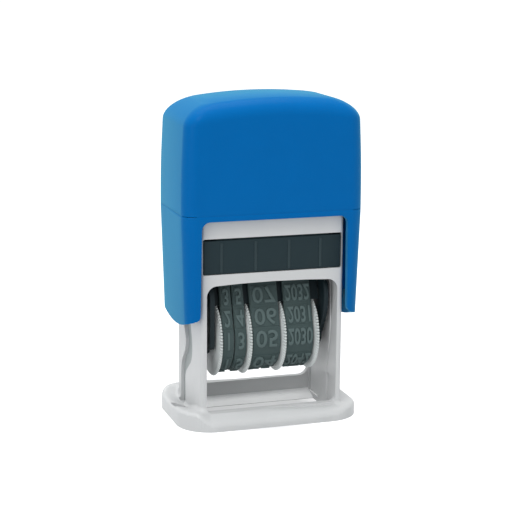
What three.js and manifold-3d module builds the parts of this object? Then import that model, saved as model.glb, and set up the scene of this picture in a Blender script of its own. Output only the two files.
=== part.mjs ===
// Self-inking date stamp with a press cap, in millimetres. X runs right, Y to the rear, Z up.
// The origin is the middle of the base's underside. The stamp is at rest: its cap is up, and
// its date face is turned up against the ink pad. Pressing the cap turns the date unit over.
import * as THREE from "three";
import { mergeVertices } from "three/addons/utils/BufferGeometryUtils.js";
import Module from "manifold-3d";

const wasm = await Module();
wasm.setup();

// Clearances of the fits, and how far a cut runs past what it cuts
const runningGap = 0.1;
const seatGap = 0.1;
const slidingGap = 0.3;
const overrun = 3;

// Mechanism: the date face above its bay's foot at rest, above the pivot, and above the paper
// when it prints
const inkRise = 1.4;
const faceReach = 9.2;
const printGap = 0.1;

// Stand: side walls, bars and deck above the base, all one moulding
const standWidth = 34.3;
const standDepth = 20.3;
const standWall = 1.4;
const standCornerRadius = 0.9;
const windowTop = 33.3;
const windowCrown = 0.5;
const windowHeadRadius = 2.3;
const windowFootRadius = 1.2;
const barHeight = 2.7;
const bayHeight = 8.3;
const bayMargin = 0.5;
const browHeight = 5.7;
const deckThickness = 1.6;
const cupWall = 1;
const cupHeight = 2;
const ledgeDepth = 1.5;
const ledgeHeight = 2.7;

// Base of the stand, a little wider than the cap
const baseProud = 0.3;
const baseDepth = 27.2;
const baseHeight = 4.2;
const baseCornerRadius = 8;
const frontLipHeight = 1.6;
const frontSlopeRise = 2.2;
const frontSlopeRun = 2.9;
const sillHeight = 3.7;
const railHeight = 5;
const printLedgeHeight = 1.1;
const printLedgeWidth = 1.1;

// Groove down the outside of each side wall, and the pocket in the base at its foot
const grooveFoot = 2.4;
const grooveHeight = 28;
const grooveReach = 7.3;
const grooveFloor = 0.4;
const pocketWidth = 2.8;
const pocketFront = 3;
const pocketRear = 2;
const pocketDepth = 1.8;

// Shallow panels inside each side wall, in front of and behind its middle rib
const panelDepth = 0.2;
const panelTop = 9.2;
const panelFoot = 1.3;
const wallRibFront = 3.7;
const wallRibRear = 1.7;

// Ink cartridge
const plateRibWidth = 0.4;
const plateRibHeight = 0.25;
const trayLegGap = 1.2;
const trayWall = 1;
const trayRoof = 1.2;
const trayRearGap = 0.4;
const padLift = 0.2;

// Cap
const capWall = 1.5;
const capSideGap = 2.05;
const capFrontGap = 0.15;
const capSideSwell = 0.8;
const capSideDraw = 0.55;
const capFrontSwell = 0.15;
const capCornerRadius = 3.3;
const capUpperHeight = 26.2;
const capArchRadius = 100;
const capArchFade = 14;
const shoulderRun = 5.4;
const edgeRun = 3.6;
const edgeRise = 4.2;
const skirtSag = 2.3;
const cutOutRise = 4.2;
const cutOutMargin = 0.22;
const cutOutFlare = 0.33;
const cutOutRadius = 1.9;
const seamRise = 1.2;
const guideRibWidth = 1.2;
const guideRibPlace = 6;
const guideRibLift = 6.6;

// Yoke inside the cap, its pins and the return spring
const wallGap = 0.25;
const legThickness = 0.9;
const legDepth = 5;
const bridgeThickness = 1.6;
const bridgeDepth = 8;
const postGap = 0.8;
const pinRadius = 1.2;
const springRadius = 4.1;
const springWire = 0.8;
const springTurns = 6;

// Date unit: cheeks, axle, tie and type bar. The cheeks are measured from the pivot.
const cheekGap = 0.2;
const cheekThickness = 1.1;
const cheekHalfDepth = 8.1;
const cheekWaistDrop = 4.2;
const cheekShoulderLift = 2.8;
const cheekTopLift = 7.4;
const cheekTopHalfDepth = 3.6;
const cheekEndRadius = 4;
const bossRadius = 2.4;
const leftBossLength = 0.5;
const rightBossLength = 1.15;
const axleRadius = 1.2;
const tieGap = 0.675;
const typeBarHalfDepth = 2.5;
const typeBarHeight = 3.4;
const typeBarRadius = 0.9;
const tenonSize = 1.6;

// Setting wheels and date bands. The year band takes the width that the others leave.
const wheelRadius = 9.5;
const wheelTieGap = 1.275;
const toothDepth = 0.4;
const toothCount = 72;
const rimThickness = 1.2;
const rimHeight = 2.2;
const bandThickness = 0.9;
const characterHeight = 0.5;
const dayBandWidth = 2.75;
const dayBandGap = 0.25;
const monthBandWidth = 6.9;

// Heights that follow from the sizes above
const bayFoot = windowTop + barHeight;
const bayTop = bayFoot + bayHeight;
const standHeight = bayTop + browHeight;
const deckFoot = bayTop + seatGap;
const deckTop = deckFoot + deckThickness;
const inkHeight = bayFoot + inkRise;
const pivotHeight = inkHeight - faceReach;
const travel = inkHeight - 2 * faceReach - printGap;
const trayFoot = inkHeight + padLift;
const trayTop = bayTop - seatGap;
const skirtFoot = baseHeight + travel + slidingGap;
const cutOutTop = bayTop + cutOutRise;
const seamHeight = cutOutTop + seamRise;
const capTop = seamHeight + capUpperHeight;
const typeBarTop = inkHeight - characterHeight - bandThickness - runningGap / 2;
const typeBarFoot = typeBarTop - typeBarHeight;
const tieHeight = (pivotHeight + pinRadius + typeBarFoot) / 2;
const tieRadius = typeBarFoot - tieHeight - tieGap;
const wheelHeight = tieHeight - tieRadius - wheelTieGap - wheelRadius;
const hubRadius = wheelRadius - rimHeight;

// Places from the side walls inwards, and the cap's widths and depths from them outwards
const wallOuter = standWidth / 2;
const wallInner = wallOuter - standWall;
const frontOuter = standDepth / 2;
const frontInner = frontOuter - standWall;
const legOuter = wallInner - wallGap;
const legInner = legOuter - legThickness;
const cheekOuter = legInner - cheekGap;
const cheekInner = cheekOuter - cheekThickness;
const trayHalfWidth = legInner - trayLegGap;
const bayHalfWidth = wallOuter - bayMargin;
const capFootHalfWidth = wallOuter + capSideGap + capWall;
const capSeamHalfWidth = capFootHalfWidth + capSideSwell;
const capShoulderHalfWidth = capSeamHalfWidth - capSideDraw;
const capFootHalfDepth = frontOuter + capFrontGap + capWall;
const capSeamHalfDepth = capFootHalfDepth + capFrontSwell;
const baseHalfWidth = capSeamHalfWidth + baseProud;
const bridgeTop = capTop - capWall - legOuter ** 2 / (2 * capArchRadius) - slidingGap;
const bridgeFoot = bridgeTop - bridgeThickness;

// Places of the wheels and bands along the axle, from left to right
const tensRim = leftBossLength + runningGap - cheekInner;
const tensBand = tensRim + rimThickness + runningGap;
const unitsBand = tensBand + dayBandWidth + dayBandGap;
const unitsRim = unitsBand + dayBandWidth + runningGap;
const monthBand = unitsRim + rimThickness + runningGap;
const monthRim = monthBand + monthBandWidth + runningGap;
const yearBand = monthRim + rimThickness + runningGap;
const yearRim = cheekInner - rightBossLength - runningGap - rimThickness;
const yearBandWidth = yearRim - runningGap - yearBand;

const palette = {
  stand: { color: 0xcfd0d2, roughness: 0.45, metalness: 0 },
  cap: { color: 0x0a66b0, roughness: 0.3, metalness: 0 },
  cartridge: { color: 0x2e3b3f, roughness: 0.5, metalness: 0 },
  pad: { color: 0x1b1d2e, roughness: 0.95, metalness: 0 },
  unit: { color: 0x20292d, roughness: 0.55, metalness: 0 },
  wheel: { color: 0xc4c8c8, roughness: 0.4, metalness: 0 },
  band: { color: 0x465555, roughness: 0.8, metalness: 0 },
  steel: { color: 0xb4b8bc, roughness: 0.3, metalness: 1 },
};

// A closed geometry as a solid that can be cut and joined.
function solidOf(geometry) {
  geometry.deleteAttribute("normal");
  geometry.deleteAttribute("uv");
  const merged = mergeVertices(geometry);
  return new wasm.Manifold(
    new wasm.Mesh({
      numProp: 3,
      vertProperties: merged.attributes.position.array,
      triVerts: new Uint32Array(merged.index.array),
    }),
  );
}

// A solid as a named mesh with one of the palette's finishes.
function meshOf(name, solid, finish) {
  const made = solid.getMesh();
  const geometry = new THREE.BufferGeometry();
  geometry.setAttribute("position", new THREE.BufferAttribute(made.vertProperties, 3));
  geometry.setIndex(new THREE.BufferAttribute(made.triVerts, 1));
  geometry.computeVertexNormals();
  const mesh = new THREE.Mesh(geometry, new THREE.MeshStandardMaterial(palette[finish]));
  mesh.name = name;
  return mesh;
}

const axisX = new THREE.Vector3(1, 0, 0);
const axisY = new THREE.Vector3(0, 1, 0);
const axisZ = new THREE.Vector3(0, 0, 1);
const minusY = new THREE.Vector3(0, -1, 0);

// Each span is a pair of ends, in any order.
function extruded(shape, span, arcSteps) {
  const depth = Math.abs(span[1] - span[0]);
  return new THREE.ExtrudeGeometry(shape, { depth, bevelEnabled: false, curveSegments: arcSteps });
}

// A shape drawn in Y and Z, drawn out along X.
function alongX(shape, span, arcSteps = 3) {
  const geometry = extruded(shape, span, arcSteps);
  geometry.applyMatrix4(new THREE.Matrix4().makeBasis(axisY, axisZ, axisX));
  return solidOf(geometry.translate(Math.min(...span), 0, 0));
}

// A shape drawn in X and Z, drawn out along Y.
function alongY(shape, span, arcSteps = 3) {
  const geometry = extruded(shape, span, arcSteps);
  geometry.applyMatrix4(new THREE.Matrix4().makeBasis(axisX, axisZ, minusY));
  return solidOf(geometry.translate(0, Math.max(...span), 0));
}

// A shape drawn in X and Y, drawn out along Z.
function alongZ(shape, span, arcSteps = 3) {
  return solidOf(extruded(shape, span, arcSteps).translate(0, 0, Math.min(...span)));
}

// A box between three spans.
function block(...spans) {
  const sizes = spans.map(([from, to]) => Math.abs(to - from));
  const middles = spans.map(([from, to]) => (from + to) / 2);
  return solidOf(new THREE.BoxGeometry(...sizes).translate(...middles));
}

// A round rod along X.
function rod(radius, span, y, z, sides = 24) {
  const geometry = new THREE.CylinderGeometry(radius, radius, Math.abs(span[1] - span[0]), sides);
  geometry.rotateZ(Math.PI / 2);
  return solidOf(geometry.translate((span[0] + span[1]) / 2, y, z));
}

// A hole along X that leaves a gap round a rod of the given radius, at its flats too.
function bore(rodRadius, span, y, z, sides = 24) {
  const radius = (rodRadius + runningGap) / Math.cos(Math.PI / sides);
  return rod(radius, [Math.min(...span) - overrun, Math.max(...span) + overrun], y, z, sides);
}

// A rectangle with one radius at its two low corners and one at its two high ones.
function roundedOutline([left, right], [low, high], footRadius, headRadius) {
  const shape = new THREE.Shape();
  const corner = (x, y, radius, turn) => {
    const start = (turn * Math.PI) / 2;
    if (radius > 0) shape.absarc(x, y, radius, start, start + Math.PI / 2, false);
    else shape.lineTo(x, y);
  };
  shape.moveTo(left + footRadius, low);
  corner(right - footRadius, low + footRadius, footRadius, 3);
  corner(right - headRadius, high - headRadius, headRadius, 0);
  corner(left + headRadius, high - headRadius, headRadius, 1);
  corner(left + footRadius, low + footRadius, footRadius, 2);
  return shape;
}

function circle(radius) {
  return new THREE.Shape().absarc(0, 0, radius, 0, 2 * Math.PI, false);
}

// The front of the base slopes down to a low lip, which climbs to the lobes on each side.
// The shares are of the base's half width, and of the climb from the lip to the lobes.
const lipShares = [
  [0.37, 0],
  [0.69, 0.22],
  [0.83, 0.52],
  [0.9, 0.88],
  [0.96, 1.05],
];

function frontSlope() {
  const climb = baseHeight - frontLipHeight;
  const place = (side) => (shares) =>
    new THREE.Vector2(side * shares[0] * baseHalfWidth, frontLipHeight + shares[1] * climb);
  const right = lipShares.map(place(1));
  const left = lipShares.map(place(-1)).reverse();
  const shape = new THREE.Shape();
  shape.moveTo(left[0].x, left[0].y);
  shape.splineThru(left.slice(1));
  shape.lineTo(right[0].x, right[0].y);
  shape.splineThru(right.slice(1));
  shape.lineTo(right.at(-1).x, railHeight + overrun);
  shape.lineTo(left[0].x, railHeight + overrun);
  const front = -baseDepth / 2;
  const geometry = extruded(shape, [front - overrun, front + frontSlopeRun], 2);
  geometry.applyMatrix4(new THREE.Matrix4().makeBasis(axisX, axisZ, minusY));
  geometry.translate(0, frontSlopeRun, 0);
  const lean = new THREE.Matrix4().makeShear(0, 0, 0, frontSlopeRise / frontSlopeRun, 0, 0);
  return solidOf(geometry.applyMatrix4(lean).translate(0, front, 0));
}

// Edges of the wall groove. The shares are of its reach behind the middle and of its height.
const grooveFrontShares = [
  [0.45, 0],
  [0.46, 0.11],
  [0.44, 0.24],
  [0.3, 0.305],
  [-0.05, 0.39],
  [-0.28, 0.47],
  [-0.38, 0.56],
  [-0.3, 0.65],
  [-0.18, 0.72],
  [-0.1, 0.85],
  [-0.1, 1],
];
const grooveRearShares = [
  [0.72, 1],
  [0.72, 0.82],
  [0.66, 0.68],
  [0.48, 0.62],
  [0.37, 0.54],
  [0.47, 0.46],
  [0.81, 0.375],
  [0.89, 0.32],
  [0.945, 0.23],
  [0.97, 0.11],
  [1, 0],
];

function grooveOutline() {
  const place = ([back, up]) =>
    new THREE.Vector2(back * grooveReach, grooveFoot + up * grooveHeight);
  const front = grooveFrontShares.map(place);
  const rear = grooveRearShares.map(place);
  const shape = new THREE.Shape();
  shape.moveTo(front[0].x, front[0].y);
  shape.splineThru(front.slice(1));
  shape.lineTo(rear[0].x, rear[0].y);
  shape.splineThru(rear.slice(1));
  shape.closePath();
  return shape;
}

// A window as wide as the inside of the stand, with a slightly crowned head.
function windowOutline(foot, footRadius) {
  const shape = new THREE.Shape();
  const headX = wallInner - windowHeadRadius;
  const headZ = windowTop - windowHeadRadius;
  const footX = wallInner - footRadius;
  const footZ = foot + footRadius;
  shape.moveTo(-footX, foot);
  shape.absarc(footX, footZ, footRadius, -Math.PI / 2, 0, false);
  shape.absarc(headX, headZ, windowHeadRadius, 0, Math.PI / 2, false);
  shape.quadraticCurveTo(0, windowTop + 2 * windowCrown, -headX, windowTop);
  shape.absarc(-headX, headZ, windowHeadRadius, Math.PI / 2, Math.PI, false);
  shape.absarc(-footX, footZ, footRadius, Math.PI, 1.5 * Math.PI, false);
  return shape;
}

function makeWalls() {
  const base = alongZ(
    roundedOutline(
      [-baseHalfWidth, baseHalfWidth],
      [-baseDepth / 2, baseDepth / 2],
      baseCornerRadius,
      baseCornerRadius,
    ),
    [0, baseHeight],
    5,
  );
  const walls = alongZ(
    roundedOutline(
      [-wallOuter, wallOuter],
      [-frontOuter, frontOuter],
      standCornerRadius,
      standCornerRadius,
    ),
    [printLedgeHeight, standHeight],
    1,
  );
  const well = block(
    [-wallInner, wallInner],
    [-frontInner, frontInner],
    [-overrun, standHeight + overrun],
  );
  const frontWindow = alongY(windowOutline(sillHeight, windowFootRadius), [
    -frontOuter - standWall,
    overrun - frontInner,
  ]);
  const rearWindow = alongY(windowOutline(railHeight, windowHeadRadius), [
    frontInner - overrun,
    frontOuter + standWall,
  ]);
  return base.subtract(frontSlope()).add(walls).subtract(well).subtract(frontWindow)
    .subtract(rearWindow);
}

// The deck over the cartridge's bay has a slot for each leg of the yoke and a cup for the
// spring. Half a wall of it is sunk in the walls.
function addDeck(stand) {
  const bite = standWall / 2;
  const deck = block(
    [-wallInner - bite, wallInner + bite],
    [-frontInner - bite, frontInner + bite],
    [deckFoot, deckTop],
  );
  const cupRadius = springRadius + springWire / 2 + slidingGap;
  const cup = circle(cupRadius + cupWall);
  cup.holes.push(circle(cupRadius));
  let made = stand.add(deck).add(alongZ(cup, [deckTop - deckThickness / 2, deckTop + cupHeight], 12));
  const slotReach = legDepth / 2 + slidingGap;
  for (const side of [-1, 1])
    made = made.subtract(
      block(
        [side * (legInner - slidingGap), side * wallInner],
        [-slotReach, slotReach],
        [deckFoot - overrun, deckTop + overrun],
      ),
    );
  return made;
}

// The bay is open at the front. A ledge in front and one behind carry the cartridge's tray.
function addBay(stand) {
  const ledgeTop = trayFoot - seatGap;
  let made = stand;
  for (const end of [-1, 1])
    made = made.add(
      block(
        [-trayHalfWidth, trayHalfWidth],
        [end * (frontInner - ledgeDepth), end * (frontInner + standWall / 2)],
        [ledgeTop - ledgeHeight, ledgeTop],
      ),
    );
  return made.subtract(
    block([-bayHalfWidth, bayHalfWidth], [-frontOuter - overrun, -frontInner], [bayFoot, bayTop]),
  );
}

function cutSideWall(stand, side) {
  const grooveBottom = wallOuter - (standWall - panelDepth - grooveFloor);
  const groove = alongX(grooveOutline(), [side * grooveBottom, side * (wallOuter + overrun)], 2);
  const grooveReachBox = block(
    [side * grooveBottom, side * (wallOuter + pocketWidth / 2)],
    [-frontOuter, frontOuter],
    [grooveFoot, grooveFoot + grooveHeight],
  );
  const pocket = block(
    [side * wallOuter, side * (wallOuter + pocketWidth)],
    [-pocketFront, pocketRear],
    [baseHeight - pocketDepth, baseHeight + overrun],
  );
  let made = stand.subtract(groove.intersect(grooveReachBox)).subtract(pocket);
  for (const depths of [
    [-frontInner, -wallRibFront],
    [wallRibRear, frontInner],
  ])
    made = made.subtract(
      block(
        [side * (wallInner - standWall), side * (wallInner + panelDepth)],
        depths,
        [panelFoot, panelTop],
      ),
    );
  return made;
}

function makeStand() {
  let stand = addBay(addDeck(makeWalls()));
  const printLedge = block(
    [-wallInner - standWall / 2, wallInner + standWall / 2],
    [-frontInner - standWall / 2, printLedgeWidth - frontInner],
    [0, printLedgeHeight],
  );
  stand = stand.add(printLedge);
  stand = cutSideWall(stand, -1);
  return cutSideWall(stand, 1);
}

const cornerSteps = 5;
const frontSteps = 8;

// Ring of points round the cap's plan, from the middle of its right side, anticlockwise.
function capRing(halfWidth, halfDepth, radius, height) {
  const points = [];
  const innerX = halfWidth - radius;
  const innerY = halfDepth - radius;
  const corner = (x, y, turn) => {
    for (let step = 0; step <= cornerSteps; step += 1) {
      const angle = ((turn + step / cornerSteps) * Math.PI) / 2;
      points.push([x + radius * Math.cos(angle), y + radius * Math.sin(angle)]);
    }
  };
  const across = (fromX, y) => {
    for (let step = 1; step < frontSteps; step += 1)
      points.push([fromX * (1 - (2 * step) / frontSteps), y]);
  };
  points.push([halfWidth, 0]);
  corner(innerX, innerY, 0);
  across(innerX, halfDepth);
  corner(-innerX, innerY, 1);
  points.push([-halfWidth, 0]);
  corner(-innerX, -innerY, 2);
  across(-innerX, -halfDepth);
  corner(innerX, -innerY, 3);
  return points.map(([x, y]) => new THREE.Vector3(x, y, height));
}

// The crown falls away to both sides along a wide arc, which fades out down the walls.
function crowned(point) {
  const crownFoot = capTop - edgeRise;
  const share = THREE.MathUtils.smoothstep(point.z, crownFoot - capArchFade, crownFoot);
  point.z -= (share * point.x ** 2) / (2 * capArchRadius);
  return point;
}

// The rings of the cap's form, from its foot to its crown, drawn in by the given wall.
function capRings(inset, footHeight) {
  const shoulderHeight = capTop - edgeRise;
  const level = (halfWidth, halfDepth, height) =>
    capRing(halfWidth - inset, halfDepth - inset, capCornerRadius - inset, height);
  const rings = [
    level(capFootHalfWidth, capFootHalfDepth, footHeight),
    level(capSeamHalfWidth, capSeamHalfDepth, seamHeight),
  ];
  const upperSteps = 3;
  for (let step = 1; step <= upperSteps; step += 1) {
    const share = step / upperSteps;
    rings.push(
      level(
        THREE.MathUtils.lerp(capSeamHalfWidth, capShoulderHalfWidth, share),
        THREE.MathUtils.lerp(capSeamHalfDepth, capFootHalfDepth, share),
        THREE.MathUtils.lerp(seamHeight, shoulderHeight, share),
      ),
    );
  }
  const edgeSteps = 5;
  for (let step = 1; step <= edgeSteps; step += 1) {
    const angle = ((step / edgeSteps) * Math.PI) / 2;
    const inward = 1 - Math.cos(angle);
    rings.push(
      capRing(
        capShoulderHalfWidth - inset - (shoulderRun - inset) * inward,
        capFootHalfDepth - inset - (edgeRun - inset) * inward,
        (capCornerRadius - inset) * (1 - inward / 2),
        shoulderHeight + (edgeRise - inset) * Math.sin(angle),
      ),
    );
  }
  return rings;
}

// A closed skin over the rings. Each end is closed by strips between its front and its rear.
function capForm(inset, footHeight) {
  const rings = capRings(inset, footHeight);
  const count = rings[0].length;
  const faces = [];
  const quad = (a, b, c, d) => faces.push(a, b, c, a, c, d);
  for (let row = 0; row < rings.length - 1; row += 1)
    for (let at = 0; at < count; at += 1) {
      const low = row * count;
      const next = (at + 1) % count;
      quad(low + at, low + next, low + count + next, low + count + at);
    }
  const top = (rings.length - 1) * count;
  faces.push(top, top + 1, top + count - 1, 0, count - 1, 1);
  for (let at = 1; at < count / 2 - 1; at += 1) {
    quad(top + at, top + at + 1, top + count - at - 1, top + count - at);
    quad(at, count - at, count - at - 1, at + 1);
  }
  const last = count / 2 - 1;
  faces.push(top + last, top + last + 1, top + last + 2, last, last + 2, last + 1);
  const positions = rings.flat().flatMap((point) => crowned(point).toArray());
  const geometry = new THREE.BufferGeometry();
  geometry.setAttribute("position", new THREE.Float32BufferAttribute(positions, 3));
  geometry.setIndex(faces);
  return solidOf(geometry);
}

// What the cap keeps, seen from the side: its lower edges are arcs, lowest in the middle.
function skirtOutline() {
  const arcRadius = (capFootHalfDepth ** 2 + skirtSag ** 2) / (2 * skirtSag);
  const reach = capFootHalfDepth + overrun;
  const reachAngle = Math.asin(reach / arcRadius);
  const down = -Math.PI / 2;
  const shape = new THREE.Shape();
  shape.absarc(0, skirtFoot + arcRadius, arcRadius, down - reachAngle, down + reachAngle, false);
  shape.lineTo(reach, capTop + overrun);
  shape.lineTo(-reach, capTop + overrun);
  return shape;
}

// The cut-outs in front and behind are open at the foot and flare a little towards it.
function cutOutOutline() {
  const head = wallOuter + cutOutMargin;
  const foot = head + cutOutFlare;
  const arcX = head - cutOutRadius;
  const arcZ = cutOutTop - cutOutRadius;
  const shape = new THREE.Shape();
  shape.moveTo(-foot, skirtFoot - overrun);
  shape.lineTo(foot, skirtFoot - overrun);
  shape.absarc(arcX, arcZ, cutOutRadius, 0, Math.PI / 2, false);
  shape.absarc(-arcX, arcZ, cutOutRadius, Math.PI / 2, Math.PI, false);
  return shape;
}

function makeCap() {
  const reachX = capSeamHalfWidth + overrun;
  const reachY = capSeamHalfDepth + overrun;
  let cap = capForm(0, skirtFoot)
    .subtract(capForm(capWall, skirtFoot - overrun))
    .intersect(alongX(skirtOutline(), [-reachX, reachX], 8))
    .subtract(alongY(cutOutOutline(), [-reachY, reachY]));
  // Ribs that guide the cap along the stand's side walls
  for (const side of [-1, 1])
    for (const middle of [-guideRibPlace, guideRibPlace])
      cap = cap.add(
        block(
          [side * (wallOuter + slidingGap), side * (capFootHalfWidth - capWall / 2)],
          [middle - guideRibWidth / 2, middle + guideRibWidth / 2],
          [skirtFoot + guideRibLift, cutOutTop],
        ),
      );
  return cap;
}

// The yoke hangs in the cap's roof. Its legs run down inside the stand to the pivot pins, and
// its post keeps the spring in the middle.
function makeYoke() {
  const bridge = block(
    [-legOuter, legOuter],
    [-bridgeDepth / 2, bridgeDepth / 2],
    [bridgeFoot, bridgeTop],
  );
  const postFoot = deckTop + travel + slidingGap;
  const postRadius = springRadius - springWire / 2 - postGap;
  let yoke = bridge.add(alongZ(circle(postRadius), [postFoot, bridgeTop - bridgeThickness / 2], 8));
  const legShape = roundedOutline(
    [-legDepth / 2, legDepth / 2],
    [pivotHeight - legDepth / 2, bridgeTop - bridgeThickness / 2],
    legDepth / 2,
    0,
  );
  for (const side of [-1, 1]) {
    const span = [side * legInner, side * legOuter];
    yoke = yoke.add(alongX(legShape, span, 4)).subtract(bore(pinRadius, span, 0, pivotHeight));
  }
  return yoke;
}

function makePin(side) {
  return rod(
    pinRadius,
    [side * (cheekInner - seatGap), side * (legOuter + seatGap)],
    0,
    pivotHeight,
  );
}

class Helix extends THREE.Curve {
  constructor(radius, turns, foot, top) {
    super();
    Object.assign(this, { radius, turns, foot, top });
  }

  getPoint(share, target = new THREE.Vector3()) {
    const angle = share * this.turns * 2 * Math.PI;
    return target.set(
      this.radius * Math.cos(angle),
      this.radius * Math.sin(angle),
      THREE.MathUtils.lerp(this.foot, this.top, share),
    );
  }
}

// An open coil between the deck and the yoke's bridge.
function makeSpring() {
  const inset = springWire / 2 + seatGap;
  const wire = new THREE.ExtrudeGeometry(circle(springWire / 2), {
    steps: springTurns * 10,
    curveSegments: 3,
    extrudePath: new Helix(springRadius, springTurns, deckTop + inset, bridgeFoot - inset),
  });
  return solidOf(wire);
}

// The face plate fills the bay's opening in the wall. Its ribs are flush with the stand's face.
const plateFront = plateRibHeight - frontOuter;
const plateRear = -frontInner - seatGap;
const trayRear = frontInner - trayRearGap;
const plateHeights = [bayFoot + seatGap, trayTop];

// Where the ribs stand, as shares of the face plate's half width
const plateRibShares = [-0.74, -0.25, 0.23, 0.69];

function makeCartridge() {
  const half = bayHalfWidth - seatGap;
  const plate = block([-half, half], [plateFront, plateRear], plateHeights);
  const body = block(
    [-trayHalfWidth, trayHalfWidth],
    [(plateFront + plateRear) / 2, trayRear],
    [trayFoot, trayTop],
  );
  const inside = block(
    [trayWall - trayHalfWidth, trayHalfWidth - trayWall],
    [plateRear + trayWall, trayRear - trayWall],
    [trayFoot - overrun, trayTop - trayRoof],
  );
  let cartridge = plate.add(body.subtract(inside));
  for (const share of plateRibShares) {
    const middle = share * half;
    const span = [middle - plateRibWidth / 2, middle + plateRibWidth / 2];
    cartridge = cartridge.add(block(span, [-frontOuter, plateRear], plateHeights));
  }
  return cartridge;
}

function makePad() {
  const half = trayHalfWidth - trayWall - seatGap;
  return block(
    [-half, half],
    [plateRear + trayWall + seatGap, trayRear - trayWall - seatGap],
    [trayFoot, trayTop - trayRoof - seatGap],
  );
}

// A cheek is wide at the pivot, narrows to the top, and is round at the wheels' axle.
function cheekOutline() {
  const waist = pivotHeight - cheekWaistDrop;
  const shoulder = pivotHeight + cheekShoulderLift;
  const top = pivotHeight + cheekTopLift;
  const lean = Math.PI / 5;
  const shape = new THREE.Shape();
  shape.absarc(0, wheelHeight, cheekEndRadius, Math.PI + lean, 2 * Math.PI - lean, false);
  shape.lineTo(cheekHalfDepth, waist);
  shape.lineTo(cheekHalfDepth, shoulder);
  shape.lineTo(cheekTopHalfDepth, top);
  shape.lineTo(-cheekTopHalfDepth, top);
  shape.lineTo(-cheekHalfDepth, shoulder);
  shape.lineTo(-cheekHalfDepth, waist);
  return shape;
}

// A square tenon at each end of the type bar, and with a growth the hole for it in the cheek
function tenon(span, growth) {
  const half = tenonSize / 2 + growth;
  const middle = typeBarTop - typeBarHeight / 2;
  return block(span, [-half, half], [middle - half, middle + half]);
}

// The boss round the axle keeps the wheels from sliding.
function makeCheek(side, bossLength) {
  const span = [side * cheekInner, side * cheekOuter];
  const boss = [side * (cheekInner - bossLength), side * (cheekInner + cheekThickness / 2)];
  return alongX(cheekOutline(), span, 4)
    .add(rod(bossRadius, boss, 0, wheelHeight))
    .subtract(bore(axleRadius, span, 0, wheelHeight))
    .subtract(bore(pinRadius, span, 0, pivotHeight))
    .subtract(bore(tieRadius, span, 0, tieHeight))
    .subtract(tenon([side * (cheekInner - overrun), side * (cheekOuter + overrun)], seatGap));
}

function makeTypeBar() {
  const half = cheekInner - seatGap;
  const outline = roundedOutline(
    [-typeBarHalfDepth, typeBarHalfDepth],
    [typeBarFoot, typeBarTop],
    0,
    typeBarRadius,
  );
  return alongX(outline, [-half, half], 2).add(tenon([-cheekOuter, cheekOuter], 0));
}

// A setting wheel is a toothed rim with a hub on one side, which carries the band.
function makeWheel(rimLeft, hubSpan) {
  const outline = new THREE.Shape();
  const halfStep = Math.PI / toothCount;
  for (let corner = 0; corner < 2 * toothCount; corner += 1) {
    const radius = corner % 2 ? wheelRadius : wheelRadius - toothDepth;
    const y = radius * Math.cos(corner * halfStep);
    const z = wheelHeight + radius * Math.sin(corner * halfStep);
    if (corner) outline.lineTo(y, z);
    else outline.moveTo(y, z);
  }
  return alongX(outline, [rimLeft, rimLeft + rimThickness])
    .add(rod(hubRadius, hubSpan, 0, wheelHeight, 48))
    .subtract(bore(axleRadius, [rimLeft, ...hubSpan], 0, wheelHeight));
}

// A band's line round hub and type bar, grown outwards by part of its thickness. The tangent's
// normal is where both arcs end.
function bandOutline(growth) {
  const hub = hubRadius + runningGap + growth;
  const corner = typeBarRadius + runningGap / 2 + growth;
  const cornerY = typeBarHalfDepth - typeBarRadius;
  const cornerZ = typeBarTop - typeBarRadius;
  const rise = cornerZ - wheelHeight;
  const normal = Math.atan2(rise, cornerY) - Math.acos((hub - corner) / Math.hypot(cornerY, rise));
  const shape = new THREE.Shape();
  shape.absarc(0, wheelHeight, hub, Math.PI - normal, 2 * Math.PI + normal, false);
  shape.absarc(cornerY, cornerZ, corner, normal, Math.PI / 2, false);
  shape.absarc(-cornerY, cornerZ, corner, Math.PI / 2, Math.PI - normal, false);
  return shape;
}

function makeBand(left, width) {
  const outline = bandOutline(bandThickness);
  outline.holes.push(bandOutline(0));
  return alongX(outline, [left, left + width], 12);
}

const stamp = new THREE.Group();
stamp.add(meshOf("stand_frame", makeStand(), "stand"));
stamp.add(meshOf("return_spring", makeSpring(), "steel"));

const capGroup = new THREE.Group();
capGroup.add(meshOf("press_cap", makeCap(), "cap"));
capGroup.add(meshOf("yoke", makeYoke(), "unit"));
capGroup.add(meshOf("pivot_pin_left", makePin(-1), "steel"));
capGroup.add(meshOf("pivot_pin_right", makePin(1), "steel"));
stamp.add(capGroup);

const cartridgeGroup = new THREE.Group();
cartridgeGroup.add(meshOf("ink_cartridge", makeCartridge(), "cartridge"));
cartridgeGroup.add(meshOf("ink_pad", makePad(), "pad"));
stamp.add(cartridgeGroup);

const unitGroup = new THREE.Group();
const fullWidth = [-cheekOuter, cheekOuter];
unitGroup.add(meshOf("cheek_left", makeCheek(-1, leftBossLength), "unit"));
unitGroup.add(meshOf("cheek_right", makeCheek(1, rightBossLength), "unit"));
unitGroup.add(meshOf("wheel_axle", rod(axleRadius, fullWidth, 0, wheelHeight), "steel"));
unitGroup.add(meshOf("unit_tie", rod(tieRadius, fullWidth, 0, tieHeight), "unit"));
unitGroup.add(meshOf("type_bar", makeTypeBar(), "unit"));
unitGroup.add(meshOf("day_tens_band", makeBand(tensBand, dayBandWidth), "band"));
unitGroup.add(meshOf("day_units_band", makeBand(unitsBand, dayBandWidth), "band"));
unitGroup.add(meshOf("month_band", makeBand(monthBand, monthBandWidth), "band"));
unitGroup.add(meshOf("year_band", makeBand(yearBand, yearBandWidth), "band"));

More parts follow.
